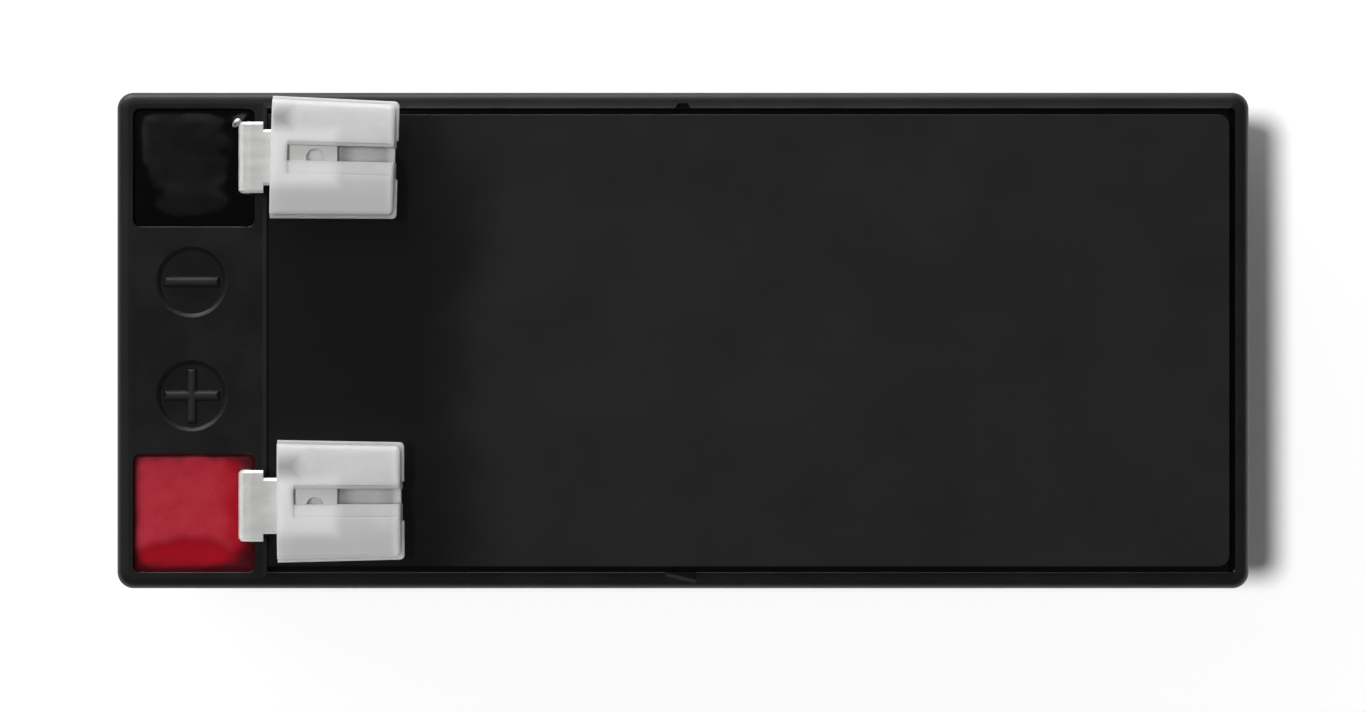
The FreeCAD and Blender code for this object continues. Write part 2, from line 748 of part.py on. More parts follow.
# Seal: epoxy cast into a well round the post and the terminal
def make_seal(label, row, terminal, strap):
    body = new_body(f"{label}_fill")
    fill = add_sketch(body, f"{label}_well", height="layout.deck_top")
    half = "dims.well_width / 2"
    add_rectangle(fill, "layout.well_left", "layout.well_right", negate(half), half)
    add_pad(body, fill, "layout.recess_depth - dims.seal_drop")
    round_edges(body, "dims.well_corner_radius", is_upright)
    place(body, y=f"{row} * layout.well_y")
    return keep(cut_away(label, body, [terminal, strap]))


def cut_away(label, base, tools):
    for step, tool in enumerate(tools, start=1):
        name = label if tool is tools[-1] else f"{label}_less_{step}"
        cut = doc.addObject("Part::Cut", name)
        cut.Base = base
        cut.Tool = tool
        base = cut
    doc.recompute()
    return base


# Tab cover: a soft sleeve with a crowned section, a lip where the mould parts, a blade cavity
# and a slit for a test probe
def make_tab_cover(label, row, mouth_gap, shift, yaw):
    body = new_body(label)
    high = "dims.sleeve_wall"
    low = "-layout.cavity_height - dims.sleeve_wall"
    plan = add_sketch(body, f"{label}_plan", height=f"{low} - dims.sleeve_crown")
    add_sleeve_outline(plan, "dims.lip_width")
    add_pad(body, plan, f"{high} - ({low}) + 2 * dims.sleeve_crown")
    crown = add_sketch(body, f"{label}_crown", "YZ_Plane")
    add_crown(crown, high, 1)
    add_crown(crown, low, -1)
    add_pocket(body, crown, "dims.sleeve_length", forward=True)
    inner_end = number("dims.sleeve_length - dims.lip_width")
    round_edges(body, "dims.sleeve_edge_radius",
                lambda edge: edge.BoundBox.XMax > inner_end - tolerance)
    lip = add_sketch(body, f"{label}_lip", height="-(layout.cavity_height + dims.lip_height) / 2")
    add_sleeve_outline(lip, "0")
    add_pad(body, lip, "dims.lip_height")
    far_end = number("dims.sleeve_length")
    round_edges(body, "dims.lip_corner_radius",
                lambda edge: is_upright(edge) and near(edge.BoundBox.XMin, far_end))

    cavity = add_sketch(body, f"{label}_cavity", "YZ_Plane")
    add_rectangle(cavity, "-dims.cavity_width / 2", "dims.cavity_width / 2", "-layout.cavity_height", "0")
    add_pocket(body, cavity, "dims.sleeve_length - dims.sleeve_end_wall", forward=True)
    band = add_sketch(body, f"{label}_band", height=high)
    past_end = "dims.sleeve_length + dims.sleeve_end_wall"
    add_rectangle(band, "dims.slit_start", past_end, "-dims.band_width / 2", "dims.band_width / 2")
    add_pocket(body, band, "dims.band_depth")
    slit = add_sketch(body, f"{label}_slit", height=high)
    add_rectangle(slit, "dims.slit_start", past_end,
                  "dims.slit_offset - dims.slit_width / 2", "dims.slit_offset + dims.slit_width / 2")
    add_pocket(body, slit, "dims.sleeve_wall + layout.cavity_height")
    recess = add_sketch(body, f"{label}_recess", "YZ_Plane", "dims.sleeve_length")
    add_rectangle(recess, "-dims.end_recess_width / 2", "dims.end_recess_width / 2",
                  f"{low} - dims.sleeve_wall", f"{high} + dims.sleeve_wall")
    add_pocket(body, recess, "dims.end_recess_depth")
    place(body, f"layout.neck_x + {mouth_gap}", f"{tab_y(row)} + {shift}", "layout.blade_top", yaw)
    return keep(body)


# The sleeve tapers to its far end; its walls stand inside the lip by the inset.
def add_sleeve_outline(sketch, inset):
    end = f"dims.sleeve_length - {inset}"
    mouth_half = f"dims.sleeve_width / 2 - {inset}"
    end_half = f"dims.sleeve_end_width / 2 - {inset}"
    add_outline(sketch, [
        ("0", negate(mouth_half)), (end, negate(end_half)), (end, end_half), ("0", mouth_half),
    ])


# What is cut off above (upward 1) or below (upward -1) the shallow arc that crowns the sleeve
def add_crown(sketch, apex, upward):
    start_x = f"{upward} * dims.sleeve_width / 2"
    end_x = f"-{upward} * dims.sleeve_width / 2"
    side = f"{apex} - {upward} * dims.sleeve_crown"
    clear = f"{apex} + 2 * {upward} * dims.sleeve_crown"
    corners = [(end_x, side), (end_x, clear), (start_x, clear), (start_x, side)]
    points = [FreeCAD.Vector(number(x), number(y), 0) for x, y in corners]
    middle = FreeCAD.Vector(0, number(apex), 0)
    arc = sketch.addGeometry(Part.Arc(points[3], middle, points[0]))
    lines = [sketch.addGeometry(Part.LineSegment(a, b)) for a, b in zip(points, points[1:])]
    for ahead, behind in zip([*lines, arc], [arc, *lines]):
        sketch.addConstraint(Sketcher.Constraint("Coincident", behind, 2, ahead, 1))
    for line, (x, y) in zip(lines, corners):
        tie_point(sketch, line, 1, x, y)
    tie_point(sketch, lines[-1], 2, *corners[-1])
    radius = "(dims.sleeve_width ^ 2 / 4 + dims.sleeve_crown ^ 2) / (2 * dims.sleeve_crown)"
    tie_size(sketch, Sketcher.Constraint("Radius", arc, number(radius)), radius)


# One cell: flat plates with lugs, and a folded glass mat round each positive plate
def make_plates(label, thickness, count, lug_side, low, first_y, cell):
    body = new_body(label)
    outline = add_sketch(body, f"{label}_outline", "XZ_Plane", negate(first_y))
    half = "layout.cell_length / 2 - dims.plate_side_gap"
    lug = f"{lug_side} * layout.lug_x"
    add_outline(outline, [
        (negate(half), low),
        (half, low),
        (half, "layout.plate_top"),
        (f"{lug} + dims.lug_width / 2", "layout.plate_top"),
        (f"{lug} + dims.lug_width / 2", "layout.lug_top"),
        (f"{lug} - dims.lug_width / 2", "layout.lug_top"),
        (f"{lug} - dims.lug_width / 2", "layout.plate_top"),
        (negate(half), "layout.plate_top"),
    ])
    plate = add_pad(body, outline, thickness, centred=True)
    add_pattern(body, plate, [("Y_Axis", f"{count - 1} * layout.plate_pitch", count)])
    place(body, *cell)
    return keep(body)


def make_separators(label, cell):
    body = new_body(label)
    fold = add_sketch(body, f"{label}_fold", "YZ_Plane")
    left = "-layout.cell_width / 2 + dims.negative_thickness"
    right = f"{left} + 2 * layout.mat_thickness + dims.positive_thickness"
    inner_left = f"{left} + layout.mat_thickness"
    inner_right = f"{right} - layout.mat_thickness"
    fold_top = "layout.plate_low + layout.mat_thickness"
    add_outline(fold, [
        (left, "layout.plate_low"), (right, "layout.plate_low"),
        (right, "layout.mat_top"), (inner_right, "layout.mat_top"),
        (inner_right, fold_top), (inner_left, fold_top),
        (inner_left, "layout.mat_top"), (left, "layout.mat_top"),
    ])
    mat = add_pad(body, fold, "layout.cell_length - 2 * dims.mat_side_gap", centred=True)
    add_pattern(body, mat, [("Y_Axis", f"{positive_plates - 1} * layout.plate_pitch", positive_plates)])
    place(body, *cell)
    return keep(body)


def make_cell(index, column, row):
    turn = "0" if row == positive_row else "180"
    cell = (f"{column} * layout.column_pitch", f"{row} * layout.row_y", "0", turn)
    wall = "-layout.cell_width / 2"
    first_negative = f"{wall} + dims.negative_thickness / 2"
    first_positive = f"{wall} + dims.negative_thickness + layout.mat_thickness + dims.positive_thickness / 2"
    label = f"cell_{index}"
    positives = make_plates(f"{label}_positive_plates", "dims.positive_thickness", positive_plates, -1,
                            "layout.plate_low + layout.mat_thickness", first_positive, cell)
    negatives = make_plates(f"{label}_negative_plates", "dims.negative_thickness", negative_plates, 1,
                            "layout.plate_low", first_negative, cell)
    make_separators(f"{label}_separators", cell)
    return {"positive": positives, "negative": negatives}


# Cast straps: bars burned on to the lugs, welded through a partition or carrying a post
def add_box(name, x, y, z, length, width, height):
    box = doc.addObject("Part::Box", name)
    box.setExpression("Length", length)
    box.setExpression("Width", width)
    box.setExpression("Height", height)
    place(box, f"{x} - ({length}) / 2", f"{y} - ({width}) / 2", z)
    return box


def add_cylinder(name, x, y, z, diameter, height, axis=z_axis):
    cylinder = doc.addObject("Part::Cylinder", name)
    cylinder.setExpression("Radius", f"({diameter}) / 2")
    cylinder.setExpression("Height", height)
    cylinder.Placement = FreeCAD.Placement(FreeCAD.Vector(), FreeCAD.Rotation(z_axis, axis))
    cylinder.setExpression("Placement.Base.x", x)
    cylinder.setExpression("Placement.Base.y", y)
    cylinder.setExpression("Placement.Base.z", z)
    return cylinder


def add_strap_bar(name, x, row):
    return add_box(name, x, f"{row} * layout.row_y", "layout.strap_low",
                   "dims.strap_width", "layout.strap_length", "dims.strap_thickness")


def cast_strap(label, pieces, plate_groups):
    casting = doc.addObject("Part::MultiFuse", f"{label}_casting")
    casting.Shapes = pieces
    casting.Refine = True
    return keep(cut_away(label, casting, plate_groups))


# A link across a partition between two columns: a bar and a weld block on each side, and the weld
def make_cross_link(label, side, row, plate_groups):
    partition = f"{side} * layout.column_pitch / 2"
    row_y = f"{row} * layout.row_y"
    pieces = []
    for hand in (-1, 1):
        face = f"{partition} + {hand} * dims.partition_wall / 2"
        pieces.append(add_strap_bar(f"{label}_bar", f"{face} + {hand} * dims.lug_inset", row))
        pieces.append(add_box(f"{label}_block", f"{face} + {hand} * dims.lug_inset / 2", row_y,
                              "layout.strap_low", "dims.lug_inset", "dims.weld_block_width",
                              "dims.strap_thickness"))
    near_face = f"{partition} - dims.partition_wall / 2"
    pieces.append(add_cylinder(f"{label}_weld", near_face, row_y, "layout.weld_z",
                               "dims.weld_diameter", "dims.partition_wall", FreeCAD.Vector(1, 0, 0)))
    return cast_strap(label, pieces, plate_groups)


# The link across the middle partition joins the two rows at the end away from the terminals.
def make_row_link(label, plate_groups):
    x = "layout.column_pitch + layout.lug_x"
    pieces = []
    for row in rows:
        pieces.append(add_strap_bar(f"{label}_bar", x, row))
        pieces.append(add_box(f"{label}_block", x, f"{row} * (dims.partition_wall + dims.strap_end_gap) / 2",
                              "layout.strap_low", "dims.strap_width", "dims.strap_end_gap",
                              "dims.strap_thickness"))
    pieces.append(add_cylinder(f"{label}_weld", x, "-dims.partition_wall / 2", "layout.weld_z",
                               "dims.weld_diameter", "dims.partition_wall", FreeCAD.Vector(0, 1, 0)))
    return cast_strap(label, pieces, plate_groups)


def make_end_strap(label, row, plates):
    well_y = f"{row} * layout.well_y"
    spigot_height = "dims.tab_thickness + dims.spigot_rise"
    pieces = [
        add_strap_bar(f"{label}_bar", "-layout.column_pitch - layout.lug_x", row),
        add_cylinder(f"{label}_post", "layout.well_x", well_y, "layout.strap_top",
                     "dims.post_diameter", "layout.post_top - layout.strap_top"),
        add_cylinder(f"{label}_spigot", "layout.well_x", well_y, "layout.post_top",
                     "dims.spigot_diameter", spigot_height),
    ]
    return cast_strap(label, pieces, [plates])


make_container()
make_lid()
make_vent_cover()
for index, (vent_x, vent_y) in enumerate(vent_centres(), start=1):
    make_vent_valve(f"vent_valve_{index}", vent_x, vent_y)

# The cells run from the positive terminal to the far end and back to the negative terminal.
route = [(column, positive_row) for column in columns]
route += [(column, negative_row) for column in reversed(columns)]
cells = [make_cell(index, column, row) for index, (column, row) in enumerate(route, start=1)]
for index, (here, ahead) in enumerate(zip(cells, cells[1:]), start=1):
    label = f"intercell_link_{index}"
    joined = [here["negative"], ahead["positive"]]
    column, row = route[index - 1]
    next_column, next_row = route[index]
    if row == next_row:
        make_cross_link(label, column + next_column, row, joined)
    else:
        make_row_link(label, joined)

positive_strap = make_end_strap("positive_end_strap", positive_row, cells[0]["positive"])
negative_strap = make_end_strap("negative_end_strap", negative_row, cells[-1]["negative"])
positive_tab = make_terminal("positive_terminal", positive_row)
negative_tab = make_terminal("negative_terminal", negative_row)
make_seal("positive_seal", positive_row, positive_tab, positive_strap)
make_seal("negative_seal", negative_row, negative_tab, negative_strap)
make_tab_cover("positive_tab_cover", positive_row, "dims.positive_mouth_gap",
               "dims.positive_sleeve_shift", "dims.positive_sleeve_yaw")
make_tab_cover("negative_tab_cover", negative_row, "dims.negative_mouth_gap",
               "dims.negative_sleeve_shift", "dims.negative_sleeve_yaw")

doc.recompute()
for item in doc.Objects:
    if "Invalid" in item.State or "Error" in item.State:
        raise RuntimeError(f"{item.Label} failed: {item.State}")
for item in sub_parts:
    if item.Shape.isNull() or not item.Shape.isValid():
        raise RuntimeError(f"{item.Label} has no valid shape")

os.makedirs("parts", exist_ok=True)
for item in sub_parts:
    item.Shape.exportStep(f"parts/{item.Label}.step")
    print(item.Label, len(item.Shape.Solids), round(item.Shape.Volume, 1))
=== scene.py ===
import math

import bmesh
import bpy
from mathutils import Matrix, Vector, noise


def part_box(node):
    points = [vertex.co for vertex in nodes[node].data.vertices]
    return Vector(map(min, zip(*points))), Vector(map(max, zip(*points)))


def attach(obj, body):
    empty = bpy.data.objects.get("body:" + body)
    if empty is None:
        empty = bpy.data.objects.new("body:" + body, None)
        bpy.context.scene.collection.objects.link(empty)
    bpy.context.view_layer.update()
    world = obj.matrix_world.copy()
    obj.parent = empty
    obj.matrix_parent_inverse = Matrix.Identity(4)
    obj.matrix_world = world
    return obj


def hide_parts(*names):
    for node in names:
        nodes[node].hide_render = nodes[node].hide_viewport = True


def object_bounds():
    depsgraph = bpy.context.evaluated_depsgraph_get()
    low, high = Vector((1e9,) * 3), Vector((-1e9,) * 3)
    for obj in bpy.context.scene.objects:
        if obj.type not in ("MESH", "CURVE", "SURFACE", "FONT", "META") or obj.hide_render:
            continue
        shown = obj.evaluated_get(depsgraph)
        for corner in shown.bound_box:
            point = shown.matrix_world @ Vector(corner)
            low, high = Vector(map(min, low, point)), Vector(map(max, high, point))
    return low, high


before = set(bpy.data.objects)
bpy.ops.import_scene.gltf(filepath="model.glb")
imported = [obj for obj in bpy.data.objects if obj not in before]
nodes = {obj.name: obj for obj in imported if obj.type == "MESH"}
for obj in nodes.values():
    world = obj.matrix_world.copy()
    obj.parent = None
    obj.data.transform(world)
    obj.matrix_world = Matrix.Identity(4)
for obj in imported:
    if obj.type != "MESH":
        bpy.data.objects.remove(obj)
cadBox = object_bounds()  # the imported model's own box
mm = 0.001
cells = range(1, 7)
poles = ("positive", "negative")
print("frame loaded:", len(nodes), "nodes")


def hexToLinear(code):
    channels = [int(code[at:at + 2], 16) / 255 for at in (1, 3, 5)]
    linear = [c / 12.92 if c <= 0.04045 else ((c + 0.055) / 1.055) ** 2.4 for c in channels]
    return (*linear, 1.0)


# settings are the node's own properties; an input is a value or another node's output
def addNode(tree, kind, settings=None, inputs=None):
    node = tree.nodes.new(kind)
    for name, value in (settings or {}).items():
        setattr(node, name, value)
    for key, value in (inputs or {}).items():
        if isinstance(value, bpy.types.NodeSocket):
            tree.links.new(value, node.inputs[key])
        else:
            node.inputs[key].default_value = value
    return node


def emptyMaterial(name, shaderInputs):
    material = bpy.data.materials.new(name)
    material.use_nodes = True
    tree = material.node_tree
    tree.nodes.clear()
    shader = addNode(tree, "ShaderNodeBsdfPrincipled", inputs=shaderInputs)
    addNode(tree, "ShaderNodeOutputMaterial", inputs={"Surface": shader.outputs["BSDF"]})
    return material, tree, shader


# What all finishes share: how soft the clouds are, which stretch of their noise spreads the tone and the
# roughness, and how many rays look for edges and hollows.
shared = {
    "cloudDetail": 4.0, "cloudRoughness": 0.6, "toneSpan": (0.32, 0.68), "roughSpan": (0.3, 0.7),
    "grainDetail": 2.0, "edgeRays": 6, "hollowRays": 8,
}
smoothStep = {"interpolation_type": "SMOOTHSTEP"}
colourMix = {"data_type": "RGBA"}  # takes its colours at sockets 6 and 7 and gives the mix at 2


# Two tones in soft clouds, a roughness that follows them, a fine grain and softened edges. Sizes are
# real ones, in the frame's metres.
def cloudedMaterial(name, spec):
    material, tree, shader = emptyMaterial(name, spec["shader"])
    place = addNode(tree, "ShaderNodeTexCoord").outputs["Object"]
    drawn = addNode(tree, "ShaderNodeMapping", inputs={
        "Vector": place, "Scale": spec.get("stretch", (1, 1, 1))}).outputs["Vector"]
    cloud = addNode(tree, "ShaderNodeTexNoise", inputs={
        "Vector": drawn, "Scale": 1 / spec["cloudSize"],
        "Detail": shared["cloudDetail"], "Roughness": shared["cloudRoughness"]}).outputs["Fac"]
    tone = addNode(tree, "ShaderNodeMapRange", smoothStep, {
        "Value": cloud, "From Min": shared["toneSpan"][0], "From Max": shared["toneSpan"][1]})
    colour = addNode(tree, "ShaderNodeMix", colourMix, {
        0: tone.outputs["Result"], 6: hexToLinear(spec["dark"]), 7: hexToLinear(spec["light"])})
    rough = addNode(tree, "ShaderNodeMapRange", inputs={
        "Value": cloud, "From Min": shared["roughSpan"][0], "From Max": shared["roughSpan"][1],
        "To Min": spec["roughness"][0], "To Max": spec["roughness"][1]})
    grain = addNode(tree, "ShaderNodeTexNoise", inputs={
        "Vector": drawn, "Scale": 1 / spec["grainSize"], "Detail": shared["grainDetail"]})
    edge = addNode(tree, "ShaderNodeBevel", {"samples": shared["edgeRays"]}, {
        "Radius": spec["edgeRadius"]})
    bump = addNode(tree, "ShaderNodeBump", inputs={
        "Height": grain.outputs["Fac"], "Normal": edge.outputs["Normal"],
        "Strength": 1.0, "Distance": spec["grainDepth"]})
    tree.links.new(colour.outputs[2], shader.inputs["Base Color"])
    tree.links.new(rough.outputs["Result"], shader.inputs["Roughness"])
    tree.links.new(bump.outputs["Normal"], shader.inputs["Normal"])
    return material, tree, shader, place


# lays another tone over the base colour where the mask is 1
def overlay(tree, shader, mask, tone):
    base = shader.inputs["Base Color"].links[0].from_socket
    mixed = addNode(tree, "ShaderNodeMix", colourMix, {0: mask, 6: base, 7: hexToLinear(tone)})
    tree.links.new(mixed.outputs[2], shader.inputs["Base Color"])


# brings the roughness to another value where the mask is 1; a mix of numbers has them at sockets 2 and 3
def roughen(tree, shader, mask, value):
    base = shader.inputs["Roughness"].links[0].from_socket
    mixed = addNode(tree, "ShaderNodeMix", inputs={0: mask, 2: base, 3: value})
    tree.links.new(mixed.outputs[0], shader.inputs["Roughness"])


# adds relief over whatever bump the shader has
def relief(tree, shader, height, depth):
    raised = addNode(tree, "ShaderNodeBump", inputs={
        "Height": height, "Distance": depth, "Strength": 1.0,
        "Normal": shader.inputs["Normal"].links[0].from_socket})
    tree.links.new(raised.outputs["Normal"], shader.inputs["Normal"])


# how far a place lies outside a box, seen from above (less than nothing inside it)
def outsideBox(tree, place, centre, half):
    away = addNode(tree, "ShaderNodeVectorMath", {"operation": "SUBTRACT"}, {0: place, 1: centre})
    size = addNode(tree, "ShaderNodeVectorMath", {"operation": "ABSOLUTE"}, {0: away.outputs["Vector"]})
    past = addNode(tree, "ShaderNodeVectorMath", {"operation": "SUBTRACT"}, {
        0: size.outputs["Vector"], 1: half})
    axes = addNode(tree, "ShaderNodeSeparateXYZ", inputs={"Vector": past.outputs["Vector"]})
    return addNode(tree, "ShaderNodeMath", {"operation": "MAXIMUM"}, {
        0: axes.outputs["X"], 1: axes.outputs["Y"]}).outputs["Value"]


# paints shade into the places that little open sky reaches
def paintHollowShade(tree, shader, spec):
    sky = addNode(tree, "ShaderNodeAmbientOcclusion", {"samples": shared["hollowRays"]}, {
        "Distance": spec["hollowReach"]})
    shadedShare = addNode(tree, "ShaderNodeMapRange", smoothStep, {
        "Value": sky.outputs["AO"], "From Min": spec["hollowSpan"][0], "From Max": spec["hollowSpan"][1]})
    overlay(tree, shader, shadedShare.outputs["Result"], spec["hollowShade"])


def finishNodes(names, material):
    for name in names:
        slots = nodes[name].data.materials
        slots.clear()
        slots.append(material)


# Black ABS, injection moulded in a spark-eroded tool: a deep black that clouds a little where
# the melt cooled unevenly, with a satin skin, and painted shade in the narrow grooves.
absCase = {
    "shader": {"IOR": 1.54}, "dark": "#111112", "light": "#151516", "cloudSize": 5.0 * mm,
    "roughness": (0.29, 0.4), "edgeRadius": 0.08 * mm,
    "grainSize": 0.3 * mm, "grainDepth": 0.003 * mm,  # the real grain is 0.06 mm: drawn coarser to show
    # painted shade for the narrow grooves
    "hollowShade": "#030303", "hollowReach": 1.6 * mm, "hollowSpan": (0.6, 0.2),
}

# The container's walls have sunk a little where the partitions meet them inside, and carry faint
# upright drag lines from leaving the tool.
absShell = {
    **absCase, "sinkPitch": 31.4 * mm, "sinkWidth": 2.6 * mm, "sinkDepth": 0.05 * mm,
    "dragWidth": 0.7 * mm, "dragLength": 18.0 * mm, "dragDetail": 3.0, "dragDepth": 0.006 * mm,
    "dragRoughness": 0.12,
}


def sinkWalls(tree, shader, place):
    mirrored = addNode(tree, "ShaderNodeVectorMath", {"operation": "ABSOLUTE"}, {0: place})
    fromSink = addNode(tree, "ShaderNodeVectorMath", {"operation": "SUBTRACT"}, {
        0: mirrored.outputs["Vector"], 1: (absShell["sinkPitch"] / 2, 0, 0)})
    apart = addNode(tree, "ShaderNodeVectorMath", {"operation": "ABSOLUTE"}, {
        0: fromSink.outputs["Vector"]})
    axes = addNode(tree, "ShaderNodeSeparateXYZ", inputs={"Vector": apart.outputs["Vector"]})
    nearest = addNode(tree, "ShaderNodeMath", {"operation": "MINIMUM"}, {
        0: axes.outputs["X"], 1: axes.outputs["Y"]})
    filled = addNode(tree, "ShaderNodeMapRange", smoothStep, {
        "Value": nearest.outputs["Value"], "From Max": absShell["sinkWidth"] / 2})
    relief(tree, shader, filled.outputs["Result"], absShell["sinkDepth"])


def dragWalls(tree, shader, place):
    upright = addNode(tree, "ShaderNodeMapping", inputs={
        "Vector": place, "Scale": (1, 1, absShell["dragWidth"] / absShell["dragLength"])})
    drag = addNode(tree, "ShaderNodeTexNoise", inputs={
        "Vector": upright.outputs["Vector"], "Scale": 1 / absShell["dragWidth"],
        "Detail": absShell["dragDetail"]})
    relief(tree, shader, drag.outputs["Fac"], absShell["dragDepth"])
    rough = addNode(tree, "ShaderNodeMath", {"operation": "MULTIPLY_ADD"}, {
        0: drag.outputs["Fac"], 1: absShell["dragRoughness"],
        2: shader.inputs["Roughness"].links[0].from_socket})
    tree.links.new(rough.outputs["Value"], shader.inputs["Roughness"])


def finishContainer():
    material, tree, shader, place = cloudedMaterial("black ABS, injection moulded", absShell)
    paintHollowShade(tree, shader, absShell)
    sinkWalls(tree, shader, place)
    dragWalls(tree, shader, place)
    finishNodes(("container",), material)


# Round the plate the lid carries a slight raised lip, which falls away outwards. Handling has rubbed
# its outer rim duller.
absLid = {
    **absCase, "light": "#161617", "roughness": (0.3, 0.4),
    "sideGroove": 0.5 * mm, "lipWidth": 0.55 * mm, "lipHeight": 0.15 * mm, "lipCurve": 2.0,
    "rimFrom": 1.4 * mm, "rimTo": 0.7 * mm, "rimRoughness": 0.48,
}
# the bars of the polarity marks and the edges of their dimples are rougher from the tool, and the bars
# carry a painted highlight on their tops
polarityMarks = {
    "x": -42.1 * mm, "y": (5.025 * mm, -4.725 * mm), "depth": 0.5 * mm, "barHeight": 0.4 * mm,
    "reach": 3.1 * mm, "roughness": 0.6, "barReach": 2.5 * mm, "bar": "#1d1d1e",
}
# a pale ragged painted highlight on the lip of the front gas notch
notchHighlight = {
    "tone": "#2c2c2c", "at": (-0.2 * mm, -20.36 * mm), "turn": -13.0, "half": (1.3 * mm, 0.1 * mm),
    "blur": 0.14 * mm, "ragged": 0.25 * mm, "raggedSize": 0.6 * mm,
}


def raiseLip(tree, shader, place):
    low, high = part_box("vent_cover")
    half = (high - low) / 2 + Vector((0, absLid["sideGroove"], 0))
    ramp = addNode(tree, "ShaderNodeMapRange", inputs={
        "Value": outsideBox(tree, place, (low + high) / 2, half),
        "From Min": absLid["lipWidth"], "From Max": 0.0})
    lip = addNode(tree, "ShaderNodeMath", {"operation": "POWER"}, {
        0: ramp.outputs["Result"], 1: absLid["lipCurve"]})
    relief(tree, shader, lip.outputs["Value"], absLid["lipHeight"])


def roughenMarksLightBars(tree, shader, place):
    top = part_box("lid")[1].z
    floor = top - polarityMarks["depth"]
    height = addNode(tree, "ShaderNodeSeparateXYZ", inputs={"Vector": place}).outputs["Z"]
    raised = addNode(tree, "ShaderNodeMapRange", inputs={
        "Value": height, "From Min": floor, "From Max": floor + polarityMarks["barHeight"]})
    for y in polarityMarks["y"]:
        away = addNode(tree, "ShaderNodeVectorMath", {"operation": "DISTANCE"}, {
            0: place, 1: (polarityMarks["x"], y, top)})
        masks = []
        for reach in (polarityMarks["reach"], polarityMarks["barReach"]):
            within = addNode(tree, "ShaderNodeMath", {"operation": "LESS_THAN"}, {
                0: away.outputs["Value"], 1: reach})
            masks.append(addNode(tree, "ShaderNodeMath", {"operation": "MULTIPLY"}, {
                0: within.outputs["Value"], 1: raised.outputs["Result"]}).outputs["Value"])
        roughen(tree, shader, masks[0], polarityMarks["roughness"])
        # painted highlight on the bars' tops
        overlay(tree, shader, masks[1], polarityMarks["bar"])


def rubRim(tree, shader, place):
    low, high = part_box("lid")
    rim = addNode(tree, "ShaderNodeMapRange", inputs={
        "Value": outsideBox(tree, place, (low + high) / 2, (high - low) / 2),
        "From Min": -absLid["rimFrom"], "From Max": -absLid["rimTo"]})
    roughen(tree, shader, rim.outputs["Result"], absLid["rimRoughness"])


def paintNotchHighlight(tree, shader, place):
    along = addNode(tree, "ShaderNodeMapping", {"vector_type": "TEXTURE"}, {
        "Vector": place, "Location": (*notchHighlight["at"], 0),
        "Rotation": (0, 0, math.radians(notchHighlight["turn"]))})
    ragged = addNode(tree, "ShaderNodeTexNoise", inputs={
        "Vector": place, "Scale": 1 / notchHighlight["raggedSize"]})
    outside = addNode(tree, "ShaderNodeMath", {"operation": "MULTIPLY_ADD"}, {
        0: ragged.outputs["Fac"], 1: notchHighlight["ragged"],
        2: outsideBox(tree, along.outputs["Vector"], (0, 0, 0), (*notchHighlight["half"], 0))})
    middle = notchHighlight["ragged"] / 2  # the noise averages one half
    highlighted = addNode(tree, "ShaderNodeMapRange", smoothStep, {
        "Value": outside.outputs["Value"],
        "From Min": middle + notchHighlight["blur"], "From Max": middle - notchHighlight["blur"]})
    # painted highlight on the notch's lip
    overlay(tree, shader, highlighted.outputs["Result"], notchHighlight["tone"])


def finishLid():
    material, tree, shader, place = cloudedMaterial("black ABS, injection moulded, lipped", absLid)
    paintHollowShade(tree, shader, absLid)
    raiseLip(tree, shader, place)
    roughenMarksLightBars(tree, shader, place)
    rubRim(tree, shader, place)
    paintNotchHighlight(tree, shader, place)
    finishNodes(("lid",), material)


# The plate is darker towards the terminals, where painted shade of the terminal covers lies on it.
absPlate = {
    **absCase, "dark": "#1a1a1b", "light": "#1d1d1e", "roughness": (0.38, 0.42), "cloudSize": 9.0 * mm,
    "coverShade": "#0a0a0a", "coverShadeFrom": -14.0 * mm, "coverShadeTo": -23.0 * mm,
    "coverShadeWander": 9.0 * mm, "coverShadeSize": 12.0 * mm, "coverShadeDetail": 3.0,
}


def paintCoverShade(tree, shader, place):
    along = addNode(tree, "ShaderNodeSeparateXYZ", inputs={"Vector": place})
    wander = addNode(tree, "ShaderNodeTexNoise", inputs={
        "Vector": place, "Scale": 1 / absPlate["coverShadeSize"], "Detail": absPlate["coverShadeDetail"]})
    shifted = addNode(tree, "ShaderNodeMath", {"operation": "MULTIPLY_ADD"}, {
        0: wander.outputs["Fac"], 1: absPlate["coverShadeWander"], 2: along.outputs["X"]})
    middle = absPlate["coverShadeWander"] / 2  # the noise averages one half
    shadedByCovers = addNode(tree, "ShaderNodeMapRange", smoothStep, {
        "Value": shifted.outputs["Value"],
        "From Min": absPlate["coverShadeFrom"] + middle, "From Max": absPlate["coverShadeTo"] + middle})
    # painted shade of the terminal covers, with a wandering edge
    overlay(tree, shader, shadedByCovers.outputs["Result"], absPlate["coverShade"])


def finishPlate():
    material, tree, shader, place = cloudedMaterial("black ABS, moulded flat plate", absPlate)
    paintCoverShade(tree, shader, place)
    paintHollowShade(tree, shader, absPlate)
    finishNodes(("vent_cover",), material)


finishContainer()
finishLid()
finishPlate()
print("case, lid and plate finished")

# Brass strip with matt tin plating, stamped and bent: pale grey, with faint lines along the rolled strip.
# Its fine crystals scatter most of the light, so it is less than fully metallic. Paler inside the sleeve:
# painted light, standing for the light that the milky walls pass on to it.
tinnedBrass = {
    "shader": {"Metallic": 0.6}, "dark": "#e4e4e2", "light": "#f0f0ee", "stretch": (0.25, 1.0, 1.0),
    "cloudSize": 0.9 * mm, "roughness": (0.38, 0.56), "edgeRadius": 0.06 * mm,
    "grainSize": 0.14 * mm, "grainDepth": 0.004 * mm, "sleeveLight": "#f0f0ee", "sleeveBlur": 0.3 * mm,
}


